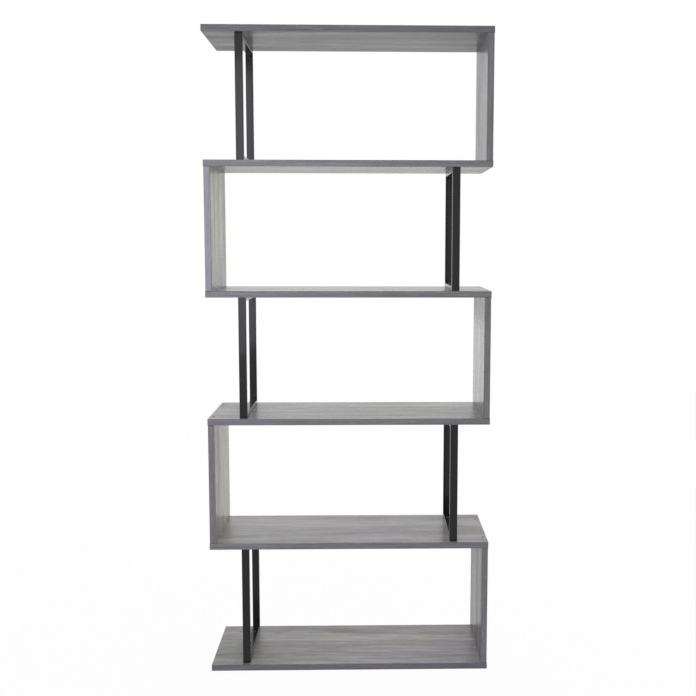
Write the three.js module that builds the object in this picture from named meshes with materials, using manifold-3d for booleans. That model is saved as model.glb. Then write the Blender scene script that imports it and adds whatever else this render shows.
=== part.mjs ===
import * as THREE from 'three';
import { mergeVertices } from 'three/addons/utils/BufferGeometryUtils.js';
import Module from 'manifold-3d';

// A zigzag bookshelf: six boards held apart by one side panel and one tube frame a tier, which
// change sides from tier to tier. Tiers are counted from the top.
// Sizes are in millimetres. X runs along the boards, Y from the front to the wall, Z up, and the
// origin is on the floor under the middle of the shelf.
const boardLength = 800;
const boardDepth = 240;
const boardThickness = 18;
const tierHeight = 344;

// A side panel stands upright between two boards, just inside their ends.
const panelThickness = 18;
const panelEndInset = 1;

// A tube frame is a welded upright rectangle of flat tube, with the tube's wide face to the front.
const tubeWidth = 22;
const tubeHeight = 12;
const tubeWall = 1.2;
const tubeCornerRadius = 2;
const frameCentreInset = 100;
const frameEdgeInset = 12;

// A panel screw goes through a board into the end of a side panel, its cone-shaped head flush.
const panelScrew = {
  headRadius: 5,
  headRim: 0.5,
  headCone: 3,
  headSink: 0.3,
  collarRadius: 3.5,
  collarLength: 9,
  threadRadius: 3.1,
  tipRadius: 1.8,
  tipLength: 3,
  grip: 32,
  socketAcross: 4,
  socketDepth: 3,
  edgeInset: 40,
};

// A frame screw goes through a frame's rail into the board, its round head on the rail.
const frameScrew = {
  headRadius: 4.5,
  headRim: 0.8,
  headHeight: 2.4,
  crownRadius: 2.8,
  shankRadius: 2.1,
  tipRadius: 0.7,
  tipLength: 3,
  coverLeft: 4,
  recessLength: 4,
  recessWidth: 1.1,
  recessDepth: 1.4,
  endInset: 50,
};

// Clearance round a screw in its bore, how far a cutter runs past a face, and the distance under
// which corners are one.
const boreGap = 0.3;
const cutOverrun = 2;
const mergeDistance = 0.001;

const tierCount = 5;
const roundSides = 10;
const socketSides = 6;
const cornerSteps = 2;
const boardNames = [
  'top_board', 'second_board', 'third_board', 'fourth_board', 'fifth_board', 'base_board',
];

const tierPitch = tierHeight + boardThickness;
const panelCentre = boardLength / 2 - panelEndInset - panelThickness / 2;
const frameCentre = boardLength / 2 - frameCentreInset;
const frameDepth = boardDepth - 2 * frameEdgeInset;
const ends = [
  { word: 'front', sign: -1 },
  { word: 'rear', sign: 1 },
];

// The side panel of the top tier is on the right (1), and the sides alternate below it.
const panelSide = (tier) => (tier % 2 === 1 ? 1 : -1);
const sideWord = (side) => (side > 0 ? 'right' : 'left');

const wasm = await Module();
wasm.setup();

// A closed solid from a three.js geometry, with its shared corners merged.
function toSolid(geometry) {
  const bare = geometry.clone();
  bare.deleteAttribute('normal');
  bare.deleteAttribute('uv');
  const merged = mergeVertices(bare, mergeDistance);
  const index = merged.index.array;
  const kept = [];
  for (let i = 0; i < index.length; i += 3) {
    const [a, b, c] = index.slice(i, i + 3);
    if (a !== b && b !== c && c !== a) kept.push(a, b, c);
  }
  return new wasm.Manifold(new wasm.Mesh({
    numProp: 3,
    vertProperties: Float32Array.from(merged.attributes.position.array),
    triVerts: Uint32Array.from(kept),
  }));
}

function toGeometry(solid) {
  const { vertProperties, triVerts } = solid.getMesh();
  const geometry = new THREE.BufferGeometry();
  geometry.setAttribute('position', new THREE.BufferAttribute(vertProperties, 3));
  geometry.setIndex(new THREE.BufferAttribute(triVerts, 1));
  geometry.computeVertexNormals();
  return geometry;
}

// A round solid on the Z axis from its outline, given upwards as pairs of radius and height.
function turned(outline) {
  const points = outline.map(([radius, height]) => new THREE.Vector2(radius, height));
  return new THREE.LatheGeometry(points, roundSides).rotateX(Math.PI / 2);
}

// The blank with one copy of the cutter taken away at each place. A place that points up holds
// the cutter turned over.
function bored(blank, cutter, places) {
  let solid = blank;
  for (const { x, y, z, up } of places) {
    const tool = cutter.clone();
    if (up) tool.rotateX(Math.PI);
    solid = solid.subtract(toSolid(tool.translate(x, y, z)));
  }
  return solid;
}

// The panel screw's outline with its head's face at height zero, pointing down. The bore has the
// same outline, wider by a gap and open at the top.
function panelScrewOutline(gap, top) {
  const s = panelScrew;
  const coneEnd = -s.headRim - s.headCone;
  const collarEnd = coneEnd - s.collarLength;
  const tipEnd = -boardThickness - s.grip;
  return [
    [0, tipEnd - gap],
    [s.tipRadius + gap, tipEnd - gap],
    [s.threadRadius + gap, tipEnd + s.tipLength],
    [s.threadRadius + gap, collarEnd - gap],
    [s.collarRadius + gap, collarEnd - gap],
    [s.collarRadius + gap, coneEnd],
    [s.headRadius + gap, -s.headRim],
    [s.headRadius + gap, top],
    [0, top],
  ];
}

const panelScrewBore = turned(panelScrewOutline(boreGap, cutOverrun));

function panelScrewGeometry() {
  const s = panelScrew;
  const socketRadius = s.socketAcross / 2 / Math.cos(Math.PI / socketSides);
  const socketLength = s.socketDepth + cutOverrun;
  const socket = new THREE.CylinderGeometry(socketRadius, socketRadius, socketLength, socketSides)
    .rotateX(Math.PI / 2);
  const blank = toSolid(turned(panelScrewOutline(0, 0)));
  return toGeometry(bored(blank, socket, [{ x: 0, y: 0, z: socketLength / 2 - s.socketDepth }]));
}

// The frame screw's tip, measured down from the underside of its head.
const frameScrewTip = -tubeHeight - boardThickness + frameScrew.coverLeft;

const frameScrewBore = turned([
  [0, frameScrewTip - boreGap],
  [frameScrew.shankRadius + boreGap, frameScrewTip - boreGap],
  [frameScrew.shankRadius + boreGap, cutOverrun],
  [0, cutOverrun],
]);

// The frame screw stands on its head's underside, pointing down, with a cross recess in its crown.
function frameScrewGeometry() {
  const s = frameScrew;
  const blank = toSolid(turned([
    [0, frameScrewTip],
    [s.tipRadius, frameScrewTip],
    [s.shankRadius, frameScrewTip + s.tipLength],
    [s.shankRadius, 0],
    [s.headRadius, 0],
    [s.headRadius, s.headRim],
    [s.crownRadius, s.headHeight],
    [0, s.headHeight],
  ]));
  const recessHeight = s.recessDepth + cutOverrun;
  const middle = { x: 0, y: 0, z: s.headHeight - s.recessDepth + recessHeight / 2 };
  const slot = new THREE.BoxGeometry(s.recessLength, s.recessWidth, recessHeight);
  const crossSlot = new THREE.BoxGeometry(s.recessWidth, s.recessLength, recessHeight);
  return toGeometry(bored(bored(blank, slot, [middle]), crossSlot, [middle]));
}

// Where a pair of panel screws stands, on the side panel's middle plane.
function panelScrewPlaces(tier, z, up) {
  const reach = boardDepth / 2 - panelScrew.edgeInset;
  const x = panelSide(tier) * panelCentre;
  return ends.map(({ word, sign }) => ({ word, x, y: sign * reach, z, up }));
}

// Where a pair of frame screws stands, on the frame's middle plane, opposite the side panel.
function frameScrewPlaces(tier, z, up) {
  const reach = frameDepth / 2 - frameScrew.endInset;
  const x = -panelSide(tier) * frameCentre;
  return ends.map(({ word, sign }) => ({ word, x, y: sign * reach, z, up }));
}

// Board 0 is the top board. It holds the screws of the tier below it, and those of the tier above.
function boardGeometry(board) {
  const tierBelow = board + 1;
  const face = boardThickness / 2;
  const headFace = face - panelScrew.headSink;
  let solid = toSolid(new THREE.BoxGeometry(boardLength, boardDepth, boardThickness));
  if (tierBelow <= tierCount) {
    solid = bored(solid, panelScrewBore, panelScrewPlaces(tierBelow, headFace, false));
    solid = bored(solid, frameScrewBore, frameScrewPlaces(tierBelow, -face - tubeHeight, true));
  }
  if (board > 0) {
    solid = bored(solid, panelScrewBore, panelScrewPlaces(board, -headFace, true));
    solid = bored(solid, frameScrewBore, frameScrewPlaces(board, face + tubeHeight, false));
  }
  return toGeometry(solid);
}

// A side panel about its own centre. Its bores take the screws from the boards over and under it.
function panelGeometry(tier) {
  const headFace = tierHeight / 2 + boardThickness - panelScrew.headSink;
  const shift = -panelSide(tier) * panelCentre;
  const onPanel = (place) => ({ ...place, x: place.x + shift });
  const blank = toSolid(new THREE.BoxGeometry(panelThickness, boardDepth, tierHeight));
  return toGeometry(bored(blank, panelScrewBore, [
    ...panelScrewPlaces(tier, headFace, false).map(onPanel),
    ...panelScrewPlaces(tier, -headFace, true).map(onPanel),
  ]));
}

function rectangle(Type, width, height) {
  const corners = [[-1, -1], [1, -1], [1, 1], [-1, 1]];
  return new Type(corners.map(([i, j]) => new THREE.Vector2(i * width / 2, j * height / 2)));
}

// A closed rectangular ring upright in the YZ plane, its corners mitred. The section is the tube's,
// less an inset on every side, with its long edges rounded.
function ringGeometry(inset, cornerRadius) {
  const outline = rectangle(THREE.Shape, frameDepth - 2 * inset, tierHeight - 2 * inset);
  const tubeInset = 2 * (tubeHeight - inset);
  outline.holes.push(rectangle(THREE.Path, frameDepth - tubeInset, tierHeight - tubeInset));
  const flatWidth = tubeWidth - 2 * inset - 2 * cornerRadius;
  return new THREE.ExtrudeGeometry(outline, {
    depth: flatWidth,
    bevelEnabled: cornerRadius > 0,
    bevelSize: cornerRadius,
    bevelThickness: cornerRadius,
    bevelOffset: -cornerRadius,
    bevelSegments: cornerSteps,
  }).translate(0, 0, -flatWidth / 2).rotateX(Math.PI / 2).rotateZ(Math.PI / 2);
}

// The frame about its own centre: hollow, and open inside through the screws' bores in its rails.
function frameGeometry(tier) {
  const shift = panelSide(tier) * frameCentre;
  const onFrame = (place) => ({ ...place, x: place.x + shift });
  const railFace = tierHeight / 2 - tubeHeight;
  const shell = toSolid(ringGeometry(0, tubeCornerRadius));
  const hollow = toSolid(ringGeometry(tubeWall, 0));
  return toGeometry(bored(shell.subtract(hollow), frameScrewBore, [
    ...frameScrewPlaces(tier, railFace, true).map(onFrame),
    ...frameScrewPlaces(tier, -railFace, false).map(onFrame),
  ]));
}

// Finishes, one material to each mesh.
function greyOak() {
  return new THREE.MeshStandardMaterial({ color: 0x969391, roughness: 0.55, metalness: 0 });
}

function blackCoat() {
  return new THREE.MeshStandardMaterial({ color: 0x1d1d1f, roughness: 0.35, metalness: 0.2 });
}

function zinc() {
  return new THREE.MeshStandardMaterial({ color: 0xb4b6b8, roughness: 0.35, metalness: 0.9 });
}

function blackZinc() {
  return new THREE.MeshStandardMaterial({ color: 0x26262a, roughness: 0.4, metalness: 0.8 });
}

function addMesh(parent, name, geometry, material, x, y, z) {
  const mesh = new THREE.Mesh(geometry, material);
  mesh.name = name;
  mesh.position.set(x, y, z);
  parent.add(mesh);
  return mesh;
}

function addScrews(parent, prefix, geometry, finish, places) {
  for (const { word, x, y, z, up } of places) {
    const mesh = addMesh(parent, `${prefix}_${word}`, geometry, finish(), x, y, z);
    if (up) mesh.rotation.x = Math.PI;
  }
}

// One tier, its zero height on the upper face of the board under it.
function tierGroup(tier, panelScrewShape, frameScrewShape) {
  const group = new THREE.Group();
  const side = panelSide(tier);
  const middle = tierHeight / 2;
  addMesh(group, `side_panel_${tier}_${sideWord(side)}`, panelGeometry(tier), greyOak(),
    side * panelCentre, 0, middle);
  addMesh(group, `tube_frame_${tier}_${sideWord(-side)}`, frameGeometry(tier), blackCoat(),
    -side * frameCentre, 0, middle);
  const headReach = boardThickness - panelScrew.headSink;
  addScrews(group, `panel_screw_${tier}_top`, panelScrewShape, zinc,
    panelScrewPlaces(tier, tierHeight + headReach, false));
  addScrews(group, `panel_screw_${tier}_bottom`, panelScrewShape, zinc,
    panelScrewPlaces(tier, -headReach, true));
  addScrews(group, `frame_screw_${tier}_top`, frameScrewShape, blackZinc,
    frameScrewPlaces(tier, tierHeight - tubeHeight, true));
  addScrews(group, `frame_screw_${tier}_bottom`, frameScrewShape, blackZinc,
    frameScrewPlaces(tier, tubeHeight, false));
  group.position.z = (tierCount - tier) * tierPitch + boardThickness;
  return group;
}

const bookshelf = new THREE.Group();
boardNames.forEach((name, board) => {
  const underside = (tierCount - board) * tierPitch;
  addMesh(bookshelf, name, boardGeometry(board), greyOak(), 0, 0, underside + boardThickness / 2);
});
const panelScrewShape = panelScrewGeometry();
const frameScrewShape = frameScrewGeometry();
for (let tier = 1; tier <= tierCount; tier += 1) {
  bookshelf.add(tierGroup(tier, panelScrewShape, frameScrewShape));
}

export default bookshelf;
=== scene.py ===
# %% [markdown]
# A zigzag bookshelf in grey oak and black steel
#
# The shelf has six boards. Between each two of them stands one side panel at one end and one
# welded tube frame near the other, and the two change sides from tier to tier. The construction
# and every size come from a measured model. This lesson gives that model its looks: edge bands,
# woodgrain, powder coat, welds and real screws.

# %% Load the measured model
import random
from math import cos, pi, sin, tau

import bmesh
import bpy
from mathutils import Matrix, Vector


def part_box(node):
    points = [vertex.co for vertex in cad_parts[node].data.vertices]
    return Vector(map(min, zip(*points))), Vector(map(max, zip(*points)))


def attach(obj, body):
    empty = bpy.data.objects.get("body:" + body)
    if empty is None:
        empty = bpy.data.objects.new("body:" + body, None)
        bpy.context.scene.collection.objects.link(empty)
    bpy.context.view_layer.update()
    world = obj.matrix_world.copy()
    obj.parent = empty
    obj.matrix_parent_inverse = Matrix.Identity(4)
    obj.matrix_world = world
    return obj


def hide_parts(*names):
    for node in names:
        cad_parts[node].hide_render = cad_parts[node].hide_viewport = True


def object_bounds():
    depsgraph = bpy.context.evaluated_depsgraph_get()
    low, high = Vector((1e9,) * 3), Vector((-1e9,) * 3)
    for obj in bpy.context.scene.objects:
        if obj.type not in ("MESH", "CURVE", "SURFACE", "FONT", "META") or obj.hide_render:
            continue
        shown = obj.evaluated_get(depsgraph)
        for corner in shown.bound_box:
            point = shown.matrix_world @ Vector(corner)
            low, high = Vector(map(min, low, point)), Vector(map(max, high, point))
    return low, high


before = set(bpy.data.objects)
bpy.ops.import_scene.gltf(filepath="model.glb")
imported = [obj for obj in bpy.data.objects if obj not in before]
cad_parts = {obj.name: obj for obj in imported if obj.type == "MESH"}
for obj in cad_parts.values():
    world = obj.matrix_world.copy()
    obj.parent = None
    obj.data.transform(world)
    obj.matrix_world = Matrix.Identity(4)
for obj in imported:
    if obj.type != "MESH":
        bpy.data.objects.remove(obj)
measured_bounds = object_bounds()
shelf_low, shelf_high = (Vector(corner) for corner in measured_bounds)
mm = 0.001
x_axis, y_axis, z_axis = range(3)
print("measured shelf", [round(side, 3) for side in shelf_high - shelf_low], "m")

# %% [markdown]
# The names of the pieces follow from the tiers, counted from the top. On an odd tier the side
# panel is on the right and the tube frame on the left, and on an even tier it is the other way.

# %% Names
board_nodes = ("top_board", "second_board", "third_board", "fourth_board", "fifth_board", "base_board")
tiers = range(1, 6)
spots = ("front", "rear")
screw_ends = [(end, spot) for end in ("top", "bottom") for spot in spots]


def panel_node(tier):
    return f"side_panel_{tier}_{'right' if tier % 2 else 'left'}"


def frame_node(tier):
    return f"tube_frame_{tier}_{'left' if tier % 2 else 'right'}"


print("tiers", [(panel_node(tier), frame_node(tier)) for tier in tiers])

# %% [markdown]
# The camera stands about 2.3 m in front of the shelf, a little above its middle, and looks
# slightly down. Its shift is small and only frames the picture, so upright edges stay almost
# upright.

# %% Camera
image_size = 696
focal_pixels = 819.71
centre_pixel = (383.08, 312.85)
camera_place = Vector((51.95 * mm, shelf_low.y - 2285.6 * mm, 1247.75 * mm))
yaw, pitch, roll = 0.0191, 0.0892, 0.0014


def camera_matrix():
    """The camera's axes, from its turn to the right, its look down and its tilt."""
    forward = Vector((sin(yaw) * cos(pitch), cos(yaw) * cos(pitch), -sin(pitch)))
    level = Vector((cos(yaw), -sin(yaw), 0))
    raised = level.cross(forward)
    right = cos(roll) * level + sin(roll) * raised
    up = cos(roll) * raised - sin(roll) * level
    axes = Matrix((right, up, -forward)).transposed().to_4x4()
    axes.translation = camera_place
    return axes


lens = bpy.data.cameras.new("camera")
lens.sensor_width = 36
lens.lens = lens.sensor_width * focal_pixels / image_size
lens.shift_x = 0.5 - centre_pixel[0] / image_size
lens.shift_y = centre_pixel[1] / image_size - 0.5
camera = bpy.data.objects.new("camera", lens)
camera.matrix_world = camera_matrix()
bpy.context.scene.collection.objects.link(camera)
bpy.context.scene.camera = camera
print("lens", round(lens.lens, 1), "mm")

# %% [markdown]
# A finish is a small network of nodes. To write its sums as plain Python, a socket is wrapped in
# a class that knows plus, minus and times, and each sum adds a Math node.

# %% A socket that can be added and multiplied


class Signal:
    """The output of a node, as a value in a sum."""

    def __init__(self, network, socket):
        self.network = network
        self.socket = socket

    def maths(self, operation, *values):
        settings = {"operation": operation}
        return self.network.node("ShaderNodeMath", settings, dict(enumerate(values)))

    def __add__(self, other):
        return self.maths("ADD", self, other)

    def __sub__(self, other):
        return self.maths("SUBTRACT", self, other)

    def __rsub__(self, other):
        return self.maths("SUBTRACT", other, self)

    def __mul__(self, other):
        return self.maths("MULTIPLY", self, other)

    __radd__ = __add__
    __rmul__ = __mul__

    def sine(self):
        return self.maths("SINE", self)

    def clamped(self):
        return self.network.node("ShaderNodeClamp", None, {0: self})

    def above(self, limit, gain):
        """From 0 at a limit up to 1, with a gain."""
        return ((self - limit) * gain).clamped()

    def swing(self):
        """Noise from 0 to 1, as a swing to both sides of nothing."""
        return self - 0.5

    def from_least(self, least):
        """What runs from 0 to 1, made to run from a least value to 1."""
        return self * (1 - least) + least


# %% [markdown]
# All nodes come from one method, which takes the node's type, its settings and what goes into its
# sockets. A second one tells rays apart, because the floor and the room show one brightness to
# the eye and give another as soft light.

# %% A tree of nodes


class Network:
    """A tree of nodes, of a material or of the world."""

    def __init__(self, tree):
        self.tree = tree

    def node(self, kind, settings=None, inputs=None, output=0):
        """A new node, its settings, what goes into its sockets, and one of its outputs."""
        node = self.tree.nodes.new(kind)
        for key, value in (settings or {}).items():
            if key == "stops":
                self.set_stops(node.color_ramp.elements, value)
            else:
                setattr(node, key, value)
        for key, value in (inputs or {}).items():
            self.feed(node.inputs[key], value)
        return Signal(self, node.outputs[output])

    def set_stops(self, elements, stops):
        while len(elements) < len(stops):
            elements.new(1)
        for element, (position, colour) in zip(elements, stops):
            element.position = position
            element.color = (*colour, 1)

    def feed(self, socket, value):
        if isinstance(value, Signal):
            self.tree.links.new(value.socket, socket)
        else:
            socket.default_value = value

    def clear_view(self, mirror_share=1):
        """1 for what is seen straight or through glass, a share in a reflection, 0 for soft light."""
        kinds = [f"Is {kind} Ray" for kind in ("Camera", "Glossy", "Transmission")]
        straight, mirrored, through = [self.node("ShaderNodeLightPath", output=kind) for kind in kinds]
        return (straight + mirrored * mirror_share + through).clamped()


# %% [markdown]
# A finish holds one material. Its surface is a Principled shader, whose fixed numbers are set on
# its own sockets. Patterns are laid out on Object coordinates, in metres, and every finished
# piece keeps its object at the origin, so a pattern runs through the whole shelf at its true size.
# A Mix node has numbers, vectors and colours under the same names, so its colours are picked by
# their place among its sockets.

# %% A finish
mix_factor, mix_first, mix_second, mixed_colour = 0, 6, 7, 2


class Finish(Network):
    """One material and the nodes that make it."""

    def __init__(self, name, roughness, metallic=0.0, gloss=0.5):
        self.material = bpy.data.materials.new(name)
        self.material.use_nodes = True
        super().__init__(self.material.node_tree)
        self.surface = self.tree.nodes["Principled BSDF"]
        self.wear({"Roughness": roughness, "Metallic": metallic, "Specular IOR Level": gloss})

    def place(self):
        """The place on the shelf, as Object coordinates in metres."""
        return self.node("ShaderNodeTexCoord", output="Object")

    def split(self, place):
        """A place as three numbers, x, y and z."""
        return [self.node("ShaderNodeSeparateXYZ", None, {0: place}, axis) for axis in "XYZ"]

    def vector(self, x, y, z):
        return self.node("ShaderNodeCombineXYZ", None, {0: x, 1: y, 2: z})

    def noise(self, place, scale=1, detail=2, roughness=0.5):
        """Cloudy noise from 0 to 1 at a place."""
        values = {"Vector": place, "Scale": scale, "Detail": detail, "Roughness": roughness}
        return self.node("ShaderNodeTexNoise", None, values)

    def mix(self, factor, first, second, blend="MIX"):
        """A blend of two colours."""
        settings = {"data_type": "RGBA", "blend_type": blend}
        inputs = {mix_factor: factor, mix_first: first, mix_second: second}
        return self.node("ShaderNodeMix", settings, inputs, mixed_colour)

    def wear(self, inputs):
        """Feeds the surface's own sockets."""
        for key, value in inputs.items():
            self.feed(self.surface.inputs[key], value)

    def bump(self, height, depth, strength=1.0):
        """Relief from a height that runs from 0 to 1, as deep as given."""
        values = {"Height": height, "Distance": depth, "Strength": strength}
        self.wear({"Normal": self.node("ShaderNodeBump", None, values, "Normal")})


def grey(level, red=0.0, green=0.0, blue=0.0):
    """A colour for a socket: a linear grey with small shifts in red, green and blue."""
    return (level + red, level + green, level + blue, 1)


# %% [markdown]
# The boards are faced with melamine paper, printed with the grain of greyed oak: broad bands of
# growth, nested arches where the saw cut them flat, small knots that the grain runs round, short
# streaks, long lines, light dashes, fine fibres and dark pores. A picture of grain would repeat
# from board to board, so all are noise, stretched along the grain. A stretch is a pattern's scale
# along the grain and across it, per metre. A share is how much a pattern adds to the tone, and a
# rise is where it starts to show and how fast it grows.

# %% Patterns of the grain
sway_stretch = (2.1, 8)
knot_stretch = (3.2, 9)
growth_stretch = (1.3, 30)
figure_stretch = (0.75, 6.5)
mottle_stretch = (6, 36)
streak_stretch = (15, 120)
line_stretch = (5, 260)
fibre_stretch = (14, 900)
dash_stretch = (26, 300)
pore_stretch = (75, 2300)
cast_stretch = (1.7, 9)
growth_share = 1.5
figure_share = 0.06
mottle_share = 0.6
streak_share = 0.9
line_share = 0.9
fibre_share = 0.7
dash_share = 0.3
dash_rise = (0.6, 8)
pore_rise = (0.57, 12)
cast_rise = (0.375, 4)
figure_lines = 62
knot_fade = 6
grain_sway = 0.010
knot_sway = 0.012

# %% [markdown]
# A board's grain runs along X and a side panel's along Z, so the patterns are worked out in a
# space with the grain as first axis. A slow noise and the knots push the grain sideways. Then the
# patterns add up to one tone, and a ramp turns the tone into the greys of the print. A faint cast
# drifts between olive and violet over it. The pores are darker, duller and a little sunk.

# %% Grey oak
middle_tone = 0.5
tone_stops = [
    (0.15, (0.095, 0.090, 0.093)),
    (0.42, (0.158, 0.152, 0.155)),
    (0.60, (0.195, 0.190, 0.190)),
    (0.88, (0.290, 0.287, 0.280)),
]
olive_cast = (-0.02, 0.012, -0.035)
violet_cast = (0.015, -0.02, 0.04)
pore_colour = grey(0.09)
pore_share = 0.5
pore_dullness = 0.1
tone_gloss = 0.1
fibre_relief_share = 0.4
pore_depth = 0.04 * mm


def grey_oak(name, grain_axis, broad=1.0, dullness=0.27, gloss=0.4, shade=0.0, blue=0.0):
    """Grey oak melamine. Broad is the strength of its broad forms, shade and blue shift its tone."""
    finish = Finish(name, roughness=dullness, gloss=gloss)
    axes = finish.split(finish.place())
    along = axes.pop(grain_axis)
    across, depth = axes

    def stretched(stretch):
        lengthwise, sideways = stretch
        return finish.vector(along * lengthwise, across * sideways, depth * sideways)

    slow = finish.noise(stretched(sway_stretch), detail=1)
    far = finish.node("ShaderNodeTexVoronoi", None, {"Vector": stretched(knot_stretch), "Scale": 1})
    knot = (1 - far * knot_fade).clamped()
    sway = (slow.swing() * grain_sway + knot * knot_sway) * broad
    across, depth = across + sway, depth + sway

    growth = finish.noise(stretched(growth_stretch), detail=3, roughness=0.6)
    figure = (finish.noise(stretched(figure_stretch), detail=1) * figure_lines).sine()
    mottle = finish.noise(stretched(mottle_stretch), detail=3, roughness=0.6)
    streaks = finish.noise(stretched(streak_stretch), detail=4, roughness=0.7)
    lines = finish.noise(stretched(line_stretch), detail=3, roughness=0.6)
    fibres = finish.noise(stretched(fibre_stretch), detail=3, roughness=0.65)
    dashes = finish.noise(stretched(dash_stretch)).above(*dash_rise)
    pores = finish.noise(stretched(pore_stretch)).above(*pore_rise)
    forms = growth.swing() * growth_share + figure * figure_share
    forms = forms + mottle.swing() * mottle_share + streaks.swing() * streak_share
    tone = middle_tone + shade + forms * broad
    tone = tone + lines.swing() * line_share + fibres.swing() * fibre_share + dashes * dash_share

    colour = finish.node("ShaderNodeValToRGB", {"stops": tone_stops}, {0: tone})
    cast = finish.noise(stretched(cast_stretch)).above(*cast_rise)
    olive, violet = [grey(1, red, green, own + blue) for red, green, own in (olive_cast, violet_cast)]
    colour = finish.mix(1, colour, finish.mix(cast, olive, violet), "MULTIPLY")
    colour = finish.mix(pores * pore_share, colour, pore_colour)
    dull = (dullness - tone.swing() * tone_gloss).clamped() + pores * pore_dullness
    finish.wear({"Base Color": colour, "Roughness": dull})
    finish.bump(fibres * fibre_relief_share - pores, pore_depth, strength=0.5)
    return finish.material


# %% [markdown]
# The bands are printed apart from the faces. Their grain is straighter and calmer and their gloss
# duller, so the same recipe serves for them with less of the broad forms. Some boards, panels and
# bands get a lighter or darker copy of the grey oak. Partly this is a real difference between
# sheets of board and rolls of band, and partly it is painted light and shade. The top board, the
# fifth side panel and the bands of the top and base boards are darker, as painted shade. The fifth
# board, the fourth side panel and the bands of the second side panel are lighter, as painted light.
# These odd bands are also a little bluer.

# %% Sheets and rolls, with painted light and shade


def grey_oak_band(name, grain_axis, **tone):
    return grey_oak(name, grain_axis, broad=0.3, dullness=0.36, gloss=0.65, **tone)


def roll_of_band(roll, **tone):
    """The long band and the end band of a board, cut from one roll."""
    long_band = grey_oak_band(roll + "_long_band", x_axis, **tone)
    end_band = grey_oak_band(roll + "_end_band", y_axis, **tone)
    return long_band, end_band


# The copies made darker below paint in shade and those made lighter paint in light, on top of a small
# real difference between sheets of board and rolls of band.
board_face = grey_oak("grey_oak_face", x_axis, shade=0.03)
shaded_board_face = grey_oak("shaded_grey_oak_face", x_axis, shade=-0.26, broad=1.4)
lit_board_face = grey_oak("lit_grey_oak_face", x_axis, shade=0.17)
board_faces = {node: board_face for node in board_nodes}
board_faces.update({"top_board": shaded_board_face, "fifth_board": lit_board_face})
common_roll = roll_of_band("grey_oak")
shaded_roll = roll_of_band("dark_grey_oak", shade=-0.17, blue=0.08)
board_rolls = {node: common_roll for node in board_nodes}
board_rolls.update({"top_board": shaded_roll, "base_board": shaded_roll})
# The fourth panel's face and the second panel's bands are made lighter as painted light, and the fifth
# panel's face darker as painted shade.
panel_face = grey_oak("grey_oak_panel_face", z_axis)
lit_panel_face = grey_oak("lit_oak_panel_face", z_axis, shade=0.08)
shaded_panel_face = grey_oak("shaded_oak_panel_face", z_axis, shade=-0.16)
panel_faces = {tier: panel_face for tier in tiers}
panel_faces.update({4: lit_panel_face, 5: shaded_panel_face})
panel_band = grey_oak_band("grey_oak_panel_band", z_axis)
lit_panel_band = grey_oak_band("lit_oak_panel_band", z_axis, shade=0.35, blue=0.14)
panel_bands = {tier: panel_band for tier in tiers}
panel_bands.update({2: lit_panel_band})
print("board faces", [board_faces[node].name for node in board_nodes])
print("panel faces", [panel_faces[tier].name for tier in tiers])

# %% [markdown]
# Under the melamine is chipboard, which shows only inside the screws' countersinks. The edge
# bands are printed like the boards, but where their corners are milled round, the plain grey
# plastic under the print shows as a thin darker line.

# %% Chipboard and milled band
chip_scale = 420
dark_chip = (0.20, 0.13, 0.07, 1)
light_chip = (0.45, 0.32, 0.19, 1)
chip_relief = 0.2 * mm
patch_scale = 25
patch_share = 0.7
mark_scale = 900
mark_share = 0.3
mark_depth = 0.02 * mm
dark_plastic = grey(0.095)
light_plastic = grey(0.145, blue=0.004)


def chipboard():
    finish = Finish("chipboard", roughness=0.9)
    pattern = {"Vector": finish.place(), "Scale": chip_scale}
    chips = finish.node("ShaderNodeTexVoronoi", None, pattern, "Color")
    level = finish.node("ShaderNodeSeparateColor", None, {0: chips})
    finish.wear({"Base Color": finish.mix(level, dark_chip, light_chip)})
    finish.bump(level, chip_relief)
    return finish.material


def milled_band():
    finish = Finish("milled_band", roughness=0.42)
    patches = finish.noise(finish.place(), patch_scale)
    marks = finish.noise(finish.place(), mark_scale)
    level = (patches * patch_share + marks * mark_share).clamped()
    finish.wear({"Base Color": finish.mix(level, dark_plastic, light_plastic)})
    finish.bump(marks, mark_depth, strength=0.5)
    return finish.material


chipboard_core = chipboard()
band_edge = milled_band()
print("under the print", chipboard_core.name, band_edge.name)

# %% [markdown]
# The frames are powder coated in black. The powder melts into a smooth skin with fine dimples and
# a slow change of gloss over the tube. Seen straight it is dull, but at a flat angle the skin
# mirrors, which draws the light line along the rails. The shader's own coat layer gives that skin.

# %% Powder coat
deep_black = grey(0.003)
pale_black = grey(0.006, blue=0.001)
skin_share = 0.35
skin_roughness = 0.06
coat_roughness = 0.15
cloud_roughness = 0.1
cloud_scale = 14
dimple_roughness = 0.05
dimple_scale = 620
dimple_depth = 0.02 * mm


def powder_coat():
    finish = Finish("semi_gloss_black", roughness=coat_roughness, gloss=0.2)
    finish.wear({"Coat Weight": skin_share, "Coat Roughness": skin_roughness})
    cloud = finish.noise(finish.place(), cloud_scale, detail=3)
    dimples = finish.noise(finish.place(), dimple_scale, roughness=0.6)
    finish.wear({
        "Base Color": finish.mix(cloud, deep_black, pale_black),
        "Roughness": coat_roughness + cloud * cloud_roughness + dimples * dimple_roughness,
    })
    finish.bump(dimples, dimple_depth, strength=0.2)
    return finish.material


black_coat = powder_coat()

# %% [markdown]
# Two kinds of screw hold the shelf. The panel screws are bright zinc and the frame screws black
# zinc. The plating is a little cloudy, and the tool that shaped the steel left fine lines along
# the screws. Inside a socket the steel is painted dull and nearly black, as painted shade in the
# recess.

# %% Screw steel
plating_scale = 260
tool_line_stretch = (200, 3000)
tool_line_roughness = 0.2
tool_line_depth = 0.01 * mm


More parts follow.
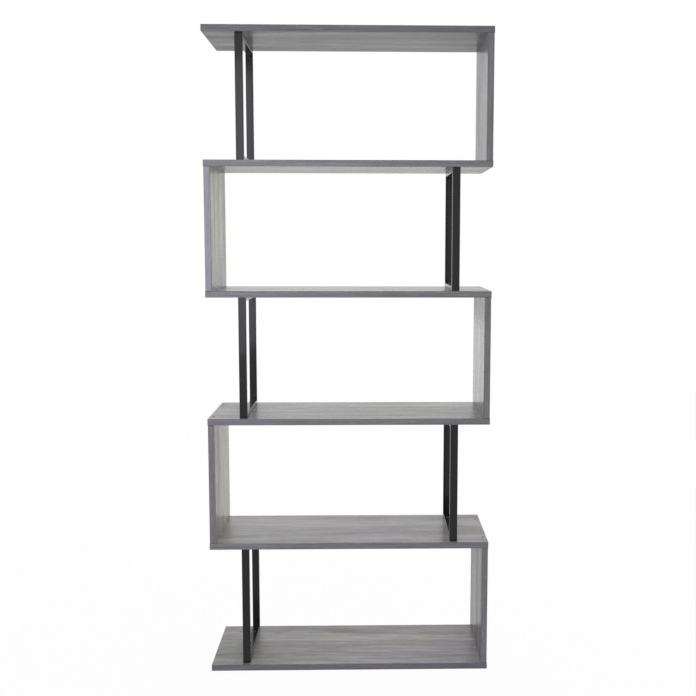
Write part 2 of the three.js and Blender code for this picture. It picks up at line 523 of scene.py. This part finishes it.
def plated(name, light, dark, roughness):
    finish = Finish(name, metallic=1.0, roughness=roughness)
    cloud = finish.noise(finish.place(), plating_scale, detail=3)
    x, y, z = finish.split(finish.place())
    along, across = tool_line_stretch
    lines = finish.noise(finish.vector(x * across, y * across, z * along), detail=1)
    finish.wear({
        "Base Color": finish.mix(cloud, dark, light),
        "Roughness": roughness + lines.swing() * tool_line_roughness,
    })
    finish.bump(lines, tool_line_depth, strength=0.4)
    return finish.material


bright_zinc = plated("bright_zinc", light=grey(0.42, blue=0.01), dark=grey(0.28), roughness=0.3)
# The socket's steel is painted nearly black, as painted shade in its recess.
shaded_socket = plated("shaded_socket", light=grey(0.045), dark=grey(0.02), roughness=0.5)
black_zinc = plated("black_zinc", light=grey(0.055), dark=grey(0.03), roughness=0.42)
print("steel finishes", [finish.name for finish in (black_coat, bright_zinc, shaded_socket, black_zinc)])

# %% [markdown]
# A few helpers do what a hand does in the viewport. Operators act on all that is selected, so the
# selection is cleared before each new piece. A piece starts as a block between two corners, and
# wherever it goes, its place is moved into its mesh.

# %% Blocks


def start_fresh():
    bpy.ops.object.select_all(action="DESELECT")


def take(piece):
    """Makes a piece the only selected and active one."""
    start_fresh()
    piece.select_set(True)
    bpy.context.view_layer.objects.active = piece


def settle_mesh(name):
    """Names the piece just made and moves its place into its mesh."""
    piece = bpy.context.object
    piece.name = piece.data.name = name
    bpy.ops.object.transform_apply(location=True, rotation=True, scale=True)
    return piece


def put(piece, place):
    """Moves a piece to its place on the shelf, and the move into its mesh."""
    piece.matrix_world = place
    take(piece)
    bpy.ops.object.transform_apply(location=True, rotation=True, scale=True)


def block(name, low, high):
    start_fresh()
    bpy.ops.mesh.primitive_cube_add(size=1, location=(low + high) / 2, scale=high - low)
    return settle_mesh(name)


# %% [markdown]
# In edit mode a hand clicks on vertices, edges or faces. Here a test picks them, by their place
# or their direction. What lies within a hair of a place counts as there. A direction counts as
# that of an axis when nearly all of it lies along the axis, and a face may stray more than an
# edge.

# %% Picking in edit mode
hair = 0.01 * mm
facing_share = 0.9
parallel_share = 0.999


def pick(piece, mode, test):
    """Enters edit mode and selects the vertices, edges or faces that pass the test."""
    take(piece)
    bpy.ops.object.mode_set(mode="EDIT")
    bpy.ops.mesh.select_mode(type=mode)
    bpy.ops.mesh.select_all(action="DESELECT")
    mesh = bmesh.from_edit_mesh(piece.data)
    for part in {"VERT": mesh.verts, "EDGE": mesh.edges, "FACE": mesh.faces}[mode]:
        if test(part):
            part.select_set(True)
    mesh.select_flush_mode()
    bmesh.update_edit_mesh(piece.data)


def leave_edit():
    bpy.ops.object.mode_set(mode="OBJECT")


def runs_along(edge, axis):
    """Whether an edge is parallel to an axis."""
    run = (edge.verts[1].co - edge.verts[0].co).normalized()
    return abs(run[axis]) > parallel_share


def faces_down(face):
    return face.normal.z < -facing_share


def faces_sideways(face):
    return abs(face.normal.x) > facing_share


# %% [markdown]
# Sockets, recesses and countersinks are cut with a Boolean modifier, and threads are joined on
# with one. Such a modifier takes a whole object as its tool, which is no longer needed once the
# modifier is applied. What a cut lays bare can wear the piece's second material.

# %% Cutting, joining and painting
second_material = 1


def combine(piece, tool, operation):
    """Cuts the tool from the piece or joins it on, and removes the tool."""
    take(piece)
    modifier = piece.modifiers.new(operation.lower(), "BOOLEAN")
    modifier.operation = operation
    modifier.object = tool
    bpy.ops.object.modifier_apply(modifier=modifier.name)
    bpy.data.objects.remove(tool)


def paint(piece, *materials):
    piece.data.materials.clear()
    for material in materials:
        piece.data.materials.append(material)


# %% [markdown]
# At the end each piece is smoothed by angle, so that a rounded edge looks round and a sharp one
# stays sharp. Its normals are weighed by the size of the faces, so that a flat face mirrors like
# a flat face right up to its rounded edge. Then the piece is fixed to the shelf.

# %% Finishing a piece
smooth_angle = 30 * pi / 180


def finish_piece(piece, node=None):
    """Smooths a piece and fixes it to the shelf, in the place of a measured node if there is one."""
    take(piece)
    bpy.ops.object.shade_smooth_by_angle(angle=smooth_angle)
    weighing = piece.modifiers.new("flat_faces", "WEIGHTED_NORMAL")
    weighing.keep_sharp = True
    bpy.ops.object.modifier_apply(modifier=weighing.name)
    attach(piece, "root")
    if node:
        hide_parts(node)
    return piece


# %% [markdown]
# A round piece is turned, as on a lathe. Its outline is drawn in edit mode by extruding one corner
# from point to point, and the outline is then spun round the Z axis.

# %% Turned pieces
turn_steps = 32
merge_distance = 0.001 * mm


def turned(name, outline):
    """A closed round solid from its outline, pairs of radius and height from axis to axis."""
    start_fresh()
    bpy.ops.mesh.primitive_plane_add(size=1)
    bpy.ops.object.mode_set(mode="EDIT")
    bpy.ops.mesh.select_mode(type="VERT")
    bpy.ops.mesh.select_all(action="SELECT")
    bpy.ops.mesh.merge(type="CENTER")
    radius, height = outline[0]
    bpy.ops.transform.translate(value=(radius, 0, height))
    for (from_radius, from_height), (radius, height) in zip(outline, outline[1:]):
        move = {"value": (radius - from_radius, 0, height - from_height)}
        bpy.ops.mesh.extrude_region_move(TRANSFORM_OT_translate=move)
    bpy.ops.mesh.select_all(action="SELECT")
    bpy.ops.mesh.spin(steps=turn_steps, angle=tau, center=(0, 0, 0), axis=(0, 0, 1))
    bpy.ops.mesh.select_all(action="SELECT")
    bpy.ops.mesh.remove_doubles(threshold=merge_distance)
    bpy.ops.mesh.normals_make_consistent(inside=False)
    leave_edit()
    return settle_mesh(name)


# %% [markdown]
# A thread winds up round its core, and a spin only goes round. So a small triangle is set at the
# core's side and a Screw modifier carries it round and up. Both ends of the ridge are filled,
# because a boolean joins closed solids.

# %% Threads
quarter_turn = pi / 2
thread_steps = 20


def thread(radius, depth, pitch, low, high):
    """A helical ridge round a core, between two heights."""
    start_fresh()
    bpy.ops.mesh.primitive_circle_add(
        vertices=3, radius=depth, location=(radius, 0, low), rotation=(quarter_turn, quarter_turn, 0),
    )
    ridge = settle_mesh("ridge")
    helix = ridge.modifiers.new("helix", "SCREW")
    helix.steps = helix.render_steps = thread_steps
    helix.screw_offset = pitch
    helix.iterations = round((high - low) / pitch)
    bpy.ops.object.modifier_apply(modifier=helix.name)
    bpy.ops.object.mode_set(mode="EDIT")
    bpy.ops.mesh.select_all(action="SELECT")
    bpy.ops.mesh.fill_holes(sides=3)
    bpy.ops.mesh.select_all(action="SELECT")
    bpy.ops.mesh.normals_make_consistent(inside=False)
    leave_edit()
    return ridge


# %% [markdown]
# The panel screw has a countersunk head with a hexagon socket, a plain collar and a coarse
# thread. Its socket is cut with a hexagonal bar. The bar's lower end is extruded and drawn in to
# the shallow point that a drill leaves.

# %% Hexagon socket
socket_sides = 6
socket_across = 5 * mm
socket_depth = 3.5 * mm
socket_point = 0.8 * mm
socket_point_share = 0.1


def socket_cutter():
    corner_radius = socket_across / 2 / cos(pi / socket_sides)
    start_fresh()
    bpy.ops.mesh.primitive_cylinder_add(
        vertices=socket_sides, radius=corner_radius, depth=2 * socket_depth,
    )
    cutter = settle_mesh("socket")
    pick(cutter, "FACE", faces_down)
    bpy.ops.mesh.extrude_region_move(TRANSFORM_OT_translate={"value": (0, 0, -socket_point)})
    bpy.ops.transform.resize(value=(socket_point_share, socket_point_share, 1))
    leave_edit()
    return cutter


# %% [markdown]
# The screw is made once, upright with its head's face at height zero. Its head and length are
# read from the measured screw, and what that one leaves out gets sizes that such screws have. The
# faces of its socket wear the second material, which paints shade into the socket.

# %% Panel screw
socket_mouth = 3.4 * mm
mouth_depth = 1.2 * mm
head_rim = 0.5 * mm
head_cone = 3 * mm
collar_share = 0.7
collar_length = 9 * mm
core_share = 0.68
screw_edge = 0.25 * mm
tip_length = 4 * mm
panel_tip_share = 0.35
panel_pitch = 3 * mm


def head_radius(node):
    low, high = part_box(node)
    return (high.y - low.y) / 2


def screw_length(node):
    low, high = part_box(node)
    return high.z - low.z


def panel_screw():
    measured = "panel_screw_1_top_front"
    head = head_radius(measured)
    tip = -screw_length(measured)
    tip_end = tip + tip_length
    collar = head * collar_share
    core = collar * core_share
    cone_end = -head_rim - head_cone
    collar_end = cone_end - collar_length
    screw = turned("panel_screw", [
        (0, tip), (core * panel_tip_share, tip), (core, tip_end), (core, collar_end - screw_edge),
        (collar, collar_end), (collar, cone_end), (head, -head_rim - screw_edge), (head, -screw_edge),
        (head - screw_edge, 0), (socket_mouth, 0), (socket_across / 2, -mouth_depth), (0, -mouth_depth),
    ])
    combine(screw, socket_cutter(), "DIFFERENCE")
    combine(screw, thread(core, collar - core, panel_pitch, tip_end, collar_end - panel_pitch), "UNION")
    paint(screw, bright_zinc, shaded_socket)
    # The faces inside the socket and its mouth get the second material, painted dark as the socket's
    # shade.
    for face in screw.data.polygons:
        middle = face.center
        if middle.xy.length < socket_mouth and -2 * socket_depth < middle.z < -hair:
            face.material_index = second_material
    return screw


master_panel_screw = panel_screw()
print("panel screw", len(master_panel_screw.data.polygons), "faces")

# %% [markdown]
# The frame screw is a black pan head screw with a cross recess. It sits on the rail of a tube
# frame and goes through it into the board. The recess is cut with two crossing blades, whose
# lower faces are drawn in, because a driver's tip is tapered. They reach over the head a little,
# so that no skin is left on top.

# %% Cross recess
overrun = 1 * mm
pan_height = 2.4 * mm
recess_reach = 2.2 * mm
recess_width = 1.1 * mm
recess_depth = 1.6 * mm
recess_floor_share = 0.45


def cross_recess():
    blades = []
    for reach in ((recess_reach, recess_width / 2), (recess_width / 2, recess_reach)):
        corner = Vector((*reach, pan_height))
        low = Vector((-corner.x, -corner.y, pan_height - recess_depth))
        blade = block("blade", low, corner + Vector((0, 0, overrun)))
        pick(blade, "FACE", faces_down)
        bpy.ops.transform.resize(value=(recess_floor_share, recess_floor_share, 1))
        leave_edit()
        blades.append(blade)
    combine(blades[0], blades[1], "UNION")
    return blades[0]


# %% [markdown]
# This master stands with the underside of its head at height zero. The dome of the head is a
# quarter of an ellipse, and the thread stops short of the plain shank under the head.

# %% Frame screw
pan_rim = 0.8 * mm
dome_steps = 6
shank_share = 0.46
shank_length = 1.5 * mm
shank_run_out = 0.5 * mm
frame_tip_share = 0.4
frame_pitch = 1.8 * mm


def pan_head(radius):
    """The outline of the head from its rim over its dome, without the dome's last point."""
    angles = [quarter_turn * step / dome_steps for step in range(dome_steps)]
    return [(radius * cos(angle), pan_rim + (pan_height - pan_rim) * sin(angle)) for angle in angles]


def frame_screw():
    measured = "frame_screw_1_top_front"
    head = head_radius(measured)
    tip = pan_height - screw_length(measured)
    tip_end = tip + tip_length
    shank = head * shank_share
    core = shank * core_share
    thread_top = -shank_length - shank_run_out
    screw = turned("frame_screw", [
        (0, tip), (core * frame_tip_share, tip), (core, tip_end), (core, thread_top),
        (shank, -shank_length), (shank, 0), (head, 0), *pan_head(head), (0, pan_height),
    ])
    combine(screw, cross_recess(), "DIFFERENCE")
    combine(screw, thread(core, shank - core, frame_pitch, tip_end, thread_top - frame_pitch), "UNION")
    paint(screw, black_zinc)
    return screw


master_frame_screw = frame_screw()
print("frame screw", len(master_frame_screw.data.polygons), "faces")

# %% [markdown]
# Each screw of the shelf is a copy of its master with a mesh of its own. Screws at the top of a
# panel point down, and those at its foot point up. In a frame it is the other way round. No two
# screws stop at the same turn, so each copy is turned by chance, and the seed makes that chance
# the same in every run.

# %% All the screws
random.seed(5)


def screw_place(node, points_down, head_rise=0):
    """The place of a measured screw, for a master whose head rises above height zero."""
    low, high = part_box(node)
    middle = (low + high) / 2
    height = high.z - head_rise if points_down else low.z + head_rise
    tip = Matrix.Rotation(0 if points_down else pi, 4, "X")
    return Matrix.Translation((middle.x, middle.y, height)) @ tip


def put_screw(master, node, place):
    piece = master.copy()
    piece.data = master.data.copy()
    piece.name = piece.data.name = node + "_threaded"
    bpy.context.scene.collection.objects.link(piece)
    turn = Matrix.Rotation(random.uniform(0, tau), 4, "Z")
    put(piece, place @ turn)
    return finish_piece(piece, node)


def put_screws():
    for tier in tiers:
        for end, spot in screw_ends:
            node = f"panel_screw_{tier}_{end}_{spot}"
            put_screw(master_panel_screw, node, screw_place(node, end == "top"))
            node = f"frame_screw_{tier}_{end}_{spot}"
            place = screw_place(node, end == "bottom", pan_height)
            put_screw(master_frame_screw, node, place)


put_screws()
bpy.data.objects.remove(master_panel_screw)
bpy.data.objects.remove(master_frame_screw)

# %% [markdown]
# Where a panel screw's head lies in a board, a countersink is cut, and the chipboard shows in it.
# The cutter is turned to the head's own shape with a little room round it, and it reaches out of
# the board, so that no skin is left over the hole.

# %% Countersinks
sink_gap = 0.2 * mm
sink_depth = 9 * mm


def countersink(node, top):
    """The cutter for one panel screw's head, in the top or the underside of a board."""
    head = head_radius(node)
    wide, narrow = head + sink_gap, head * collar_share + sink_gap
    cone = head_rim + head_cone
    cutter = turned("countersink", [
        (0, -sink_depth), (narrow, -sink_depth), (narrow, -cone), (wide, -head_rim),
        (wide, overrun), (0, overrun),
    ])
    put(cutter, screw_place(node, top))
    paint(cutter, board_face, chipboard_core)
    for face in cutter.data.polygons:
        face.material_index = second_material
    return cutter


# %% [markdown]
# A board is a faced core with a plastic band on each of its four edges. The core's edges are
# bevelled very little, which leaves a fine groove between face and band, where the glue line is.

# %% Cores of the boards
band = 1.0 * mm
groove = 0.18 * mm
same_material = -1


def every(edge):
    return True


def soften(piece, offset, segments, test=every, material=same_material):
    """Bevels the edges of a piece that pass the test."""
    pick(piece, "EDGE", test)
    bpy.ops.mesh.bevel(offset=offset, segments=segments, affect="EDGES", material=material)
    leave_edit()


def board_core(board, node):
    """A board's core, with countersinks for the panel below it and for the panel above."""
    low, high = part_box(node)
    band_room = Vector((band, band, 0))
    core = block(node + "_faced", low + band_room, high - band_room)
    paint(core, board_faces[node], chipboard_core)
    soften(core, groove, segments=1)
    for tier, end in ((board + 1, "top"), (board, "bottom")):
        if tier in tiers:
            for spot in spots:
                combine(core, countersink(f"panel_screw_{tier}_{end}_{spot}", end == "top"), "DIFFERENCE")
    print(node, len(core.data.polygons), "faces with its countersinks")
    return finish_piece(core, node)


# %% [markdown]
# The bands are one millimetre thick. Their outer corners are milled round, and the milled strip
# gets the plain grey of the plastic. The two long bands run over the ends of the short ones.

# %% Bands
low_side, high_side = -1, 1
round_edge = 0.9 * mm


def put_band(name, low, high, axis, side, material):
    """A band over one side of a box, within it. Its edges on that side are milled."""
    low, high = low.copy(), high.copy()
    if side == low_side:
        high[axis] = low[axis] + band
        outer = low[axis]
    else:
        low[axis] = high[axis] - band
        outer = high[axis]

    def is_milled(edge):
        return all(abs(corner.co[axis] - outer) < hair for corner in edge.verts)

    strip = block(name, low, high)
    paint(strip, material, band_edge)
    soften(strip, round_edge, segments=3, test=is_milled, material=second_material)
    return finish_piece(strip)


def long_bands(node, material):
    """The bands over the front and the rear edge of a board or panel."""
    low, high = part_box(node)
    put_band(node + "_front_band", low, high, y_axis, low_side, material)
    put_band(node + "_rear_band", low, high, y_axis, high_side, material)


def board_bands(node):
    long_band, end_band = board_rolls[node]
    long_bands(node, long_band)
    low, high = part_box(node)
    low.y, high.y = low.y + band, high.y - band
    put_band(node + "_left_band", low, high, x_axis, low_side, end_band)
    put_band(node + "_right_band", low, high, x_axis, high_side, end_band)


for board, node in enumerate(board_nodes):
    board_core(board, node)
    board_bands(node)

# %% [markdown]
# A side panel stands between two boards, so only its front and rear edges need a band. Its grain
# is upright.

# %% Side panels


def side_panel(tier):
    node = panel_node(tier)
    low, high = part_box(node)
    band_room = Vector((0, band, 0))
    core = block(node + "_faced", low + band_room, high - band_room)
    paint(core, panel_faces[tier])
    soften(core, groove, segments=1)
    finish_piece(core, node)
    long_bands(node, panel_bands[tier])


for tier in tiers:
    side_panel(tier)

# %% [markdown]
# A tube frame is four lengths of flat tube, mitred and welded into an upright rectangle. It starts
# as a block. The window is inset on both sides and bridged through, which leaves the four mitres
# as diagonal edges. The long edges get the tube's radius, and a low seam follows each mitre.

# %% Tube frames
tube_height = 12 * mm
tube_radius = 2 * mm
seam_width = 0.6 * mm
seam_height = 0.1 * mm
least_mitre = 1 * mm


def is_long(edge):
    return runs_along(edge, y_axis) or runs_along(edge, z_axis)


def is_mitre(edge):
    run = edge.verts[1].co - edge.verts[0].co
    return abs(run.x) < hair and abs(run.y) > least_mitre and abs(run.z) > least_mitre


def raise_seams(ring, low, high):
    """Lifts the line in the middle of each mitre's strip off the flat side of the tube."""

    def is_seam(vertex):
        place = vertex.co
        from_side = min(place.x - low.x, high.x - place.x)
        from_edge = min(place.y - low.y, high.y - place.y)
        from_end = min(place.z - low.z, high.z - place.z)
        return from_side < hair and abs(from_edge - from_end) < hair

    pick(ring, "VERT", is_seam)
    bpy.ops.transform.shrink_fatten(value=seam_height)
    leave_edit()


def tube_frame(tier):
    node = frame_node(tier)
    low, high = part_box(node)
    ring = block(node + "_welded", low, high)
    pick(ring, "FACE", faces_sideways)
    bpy.ops.mesh.inset(thickness=tube_height)
    bpy.ops.mesh.bridge_edge_loops()
    leave_edit()
    soften(ring, tube_radius, segments=5, test=is_long)
    soften(ring, seam_width, segments=2, test=is_mitre)
    raise_seams(ring, low, high)
    paint(ring, black_coat)
    return finish_piece(ring, node)


for tier in tiers:
    ring = tube_frame(tier)
    print(ring.name, len(ring.data.polygons), "faces")

# %% [markdown]
# The shelf stands on a plain pale floor in front of white. The floor keeps the shelf's shadow,
# but to the eye it is mostly its own light, and further out only that, so that it meets the
# background without a line. In a reflection the near floor is less bright than the far one, as
# the floor of a lit room is against its walls.

# %% Floor
floor_reach = 30
floor_drop = 0.3 * mm
floor_shade = 0.38
floor_glow = 0.975
glow_starts = 0.6
glow_rise = 0.2
near_mirror = 0.75
bright_starts = 7


def pale_floor():
    finish = Finish("pale_floor", roughness=0.8)
    finish.wear({"Base Color": grey(floor_shade)})
    far = finish.node("ShaderNodeVectorMath", {"operation": "LENGTH"}, {0: finish.place()}, "Value")
    share = far.above(glow_starts, glow_rise).from_least(floor_glow)
    glow = finish.node("ShaderNodeEmission", None, {"Color": grey(1), "Strength": 1.0})
    surface = Signal(finish, finish.surface.outputs[0])
    mirrored = far.above(bright_starts, glow_rise).from_least(near_mirror)
    shown = {0: finish.clear_view(mirrored) * share, 1: surface, 2: glow}
    ground = finish.node("ShaderNodeMixShader", None, shown)
    finish.feed(finish.tree.nodes["Material Output"].inputs["Surface"], ground)
    return finish.material


start_fresh()
bpy.ops.mesh.primitive_plane_add(size=2 * floor_reach, location=(0, 0, shelf_low.z - floor_drop))
floor = settle_mesh("floor")
paint(floor, pale_floor())

# %% [markdown]
# The light is that of a plain studio, first of all a white room. To the eye and in a reflection
# its walls are plain white, but as soft light they are dimmer, so that the lamps can still draw
# light and shade.

# %% Room light
room_light = 0.34


def light_room():
    world = bpy.data.worlds.new("studio")
    bpy.context.scene.world = world
    world.use_nodes = True
    room = Network(world.node_tree)
    background = room.tree.nodes["Background"].inputs
    room.feed(background["Color"], grey(1))
    room.feed(background["Strength"], room.clear_view().from_least(room_light))


light_room()
print("room light", room_light)

# %% [markdown]
# Three lamps light the shelf. One stands in front on the left at the height of the upper shelves,
# one high behind the shelf and one behind it on the right. The two behind reach the boards' tops
# between the tiers, where a lamp overhead would be shaded. The gloss shows no bare lamp, which
# would burn a spot into it, but white sheets with a wide and even reflection: a tall one round
# the front lamp for legs and fronts, a high one over the rear lamp for the boards' tops, and a
# low, dim one behind the shelf.

# %% Lamps and sheets
white = (1, 1, 1)
cool_white = (1, 0.985, 1.13)
warm_white = (1, 1, 0.82)
shelf_middle = (shelf_low + shelf_high) / 2


def put_light(name, place, size, power, colour, is_sheet):
    """A flat light turned to the shelf. A sheet shows only in the gloss, a lamp everywhere else."""
    light = bpy.data.lights.new(name, "AREA")
    light.shape = "RECTANGLE"
    light.size, light.size_y = size
    light.energy = power
    light.color = colour
    holder = bpy.data.objects.new(name, light)
    turn = (shelf_middle - Vector(place)).to_track_quat("-Z", "Y")
    holder.matrix_world = Matrix.Translation(place) @ turn.to_matrix().to_4x4()
    holder.visible_camera = False
    holder.visible_glossy = is_sheet
    holder.visible_diffuse = not is_sheet
    bpy.context.scene.collection.objects.link(holder)


def lamp(name, place, size, power, colour):
    put_light(name + "_lamp", place, size, power, colour, is_sheet=False)


def sheet(name, place, size, power, colour):
    put_light(name + "_sheet", place, size, power, colour, is_sheet=True)


lamp("front", place=(-0.9, -3.2, 1.3), size=(1.8, 1.0), power=52, colour=cool_white)
sheet("front", place=(-1.15, -3.2, 1.42), size=(1.6, 1.95), power=17.5, colour=cool_white)
lamp("rear", place=(-0.25, 2.8, 3.4), size=(2.5, 2.0), power=112, colour=white)
sheet("rear", place=(-0.8, 2.8, 4.2), size=(3.0, 2.0), power=95, colour=white)
lamp("right", place=(2.6, 2.0, 1.0), size=(1.6, 2.0), power=98, colour=warm_white)
sheet("low_rear", place=(-0.05, 3.2, 0.35), size=(1.6, 0.7), power=2.2, colour=white)
print("lights", [light.name for light in bpy.data.lights])

bpy.context.scene.view_settings.view_transform = "Standard"
